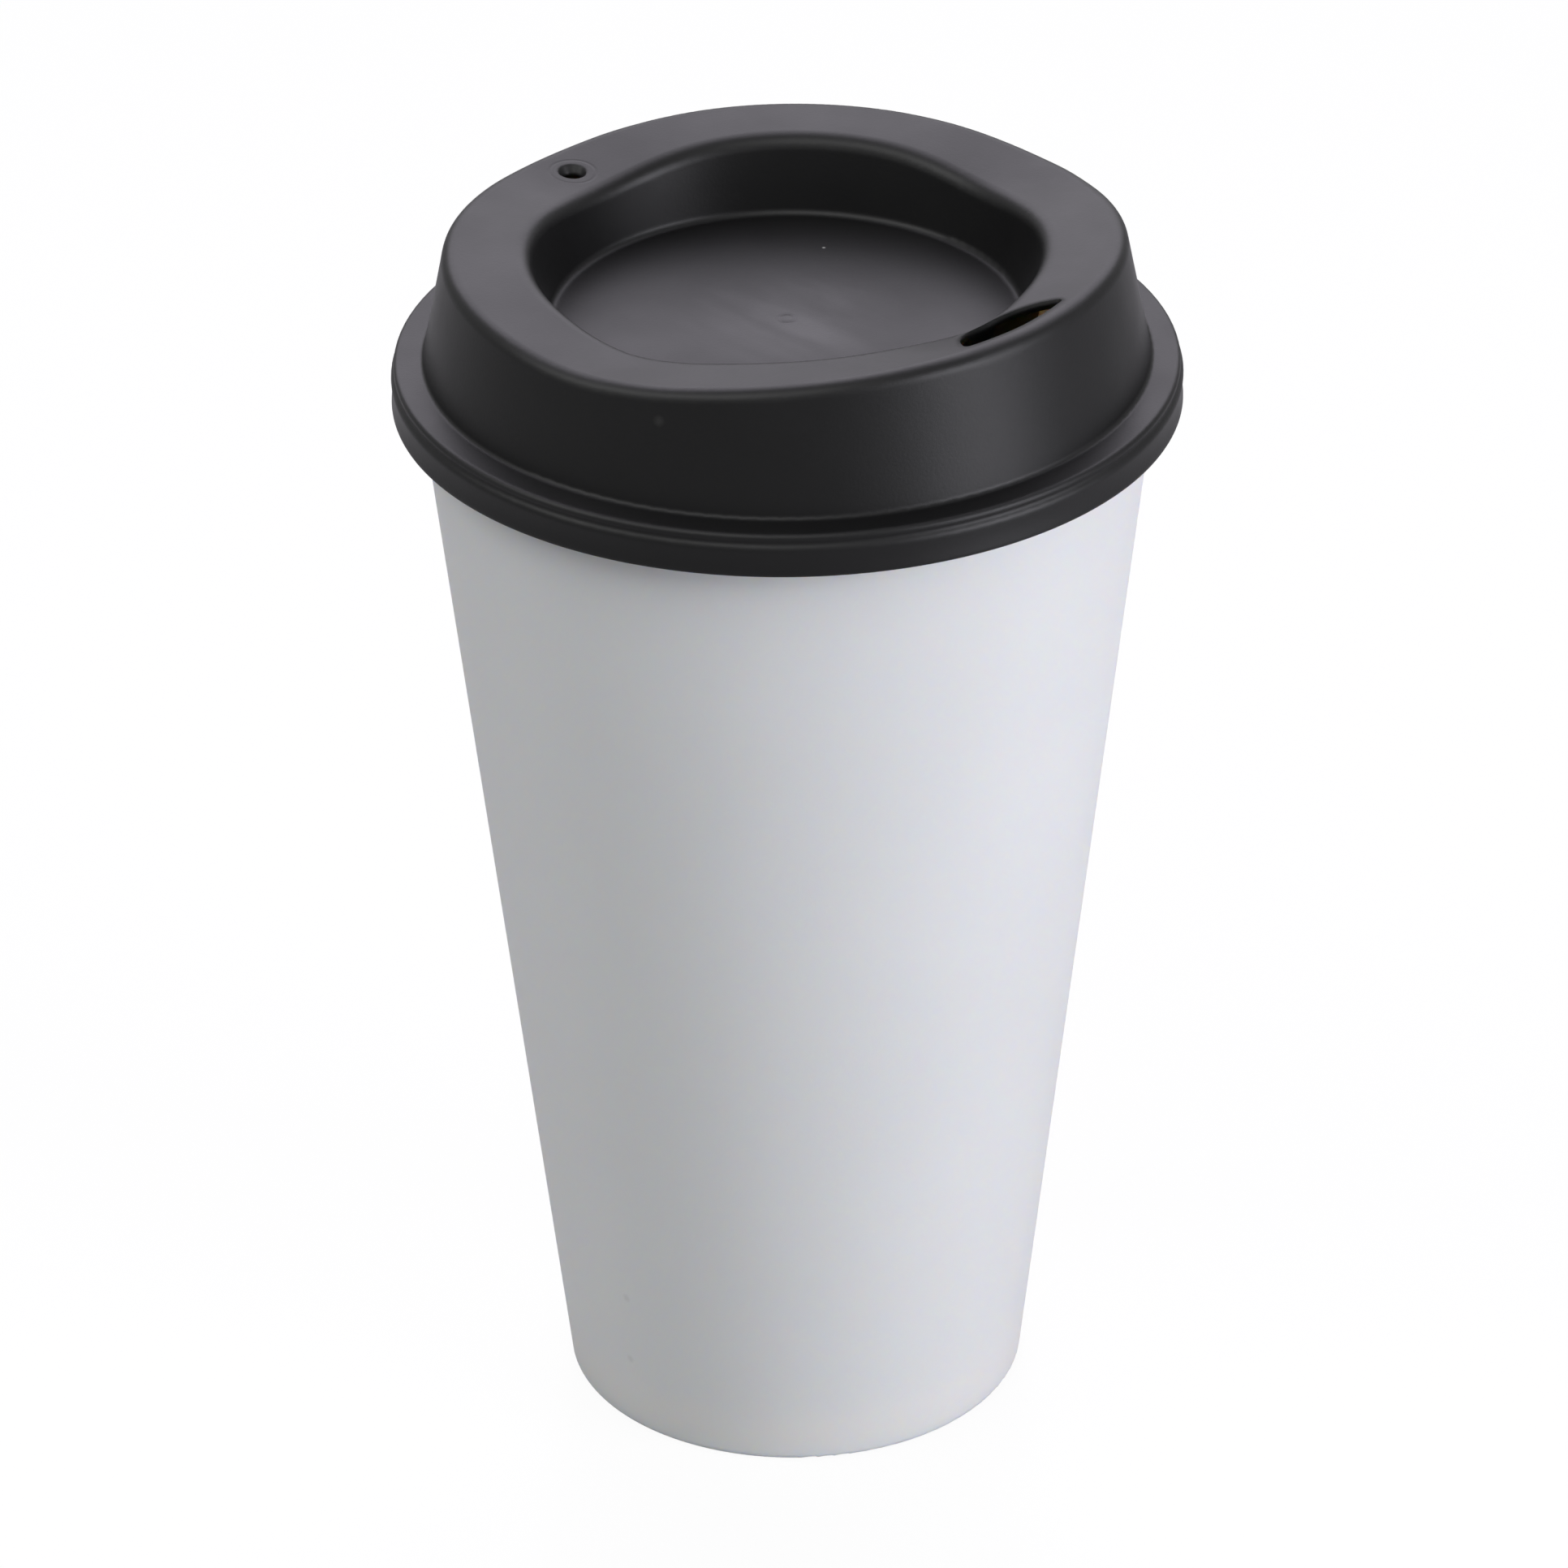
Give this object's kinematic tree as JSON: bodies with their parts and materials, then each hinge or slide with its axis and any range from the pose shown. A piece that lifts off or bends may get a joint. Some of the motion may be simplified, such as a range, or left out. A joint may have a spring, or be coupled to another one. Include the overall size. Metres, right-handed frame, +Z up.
{
  "type": "reusable coffee cup",
  "caption": "Tapered reusable takeaway cup of pale plastic with a black press-on lid that has a sunken well, a raised sip slot and a vent hole.",
  "frame": {"origin": "centre of the foot ring, on the surface that the cup stands on", "axes": "+Z up along the cup's axis, +X towards the sip slot, -X towards the vent"},
  "size_m": [0.094, 0.094, 0.1548],
  "materials": {
    "cup_plastic": "fine matt moulded, off-white",
    "lid_plastic": "fine satin moulded, black"
  },
  "bodies": {
    "cup": {"cup": "cup_plastic"},
    "lid": {"lid": "lid_plastic"}
  },
  "joints": [
    {"name": "lid_lift", "type": "slide", "parent": "cup", "child": "lid", "axis": [0, 0, 1], "range_m": [0, 0.06]}
  ]
}
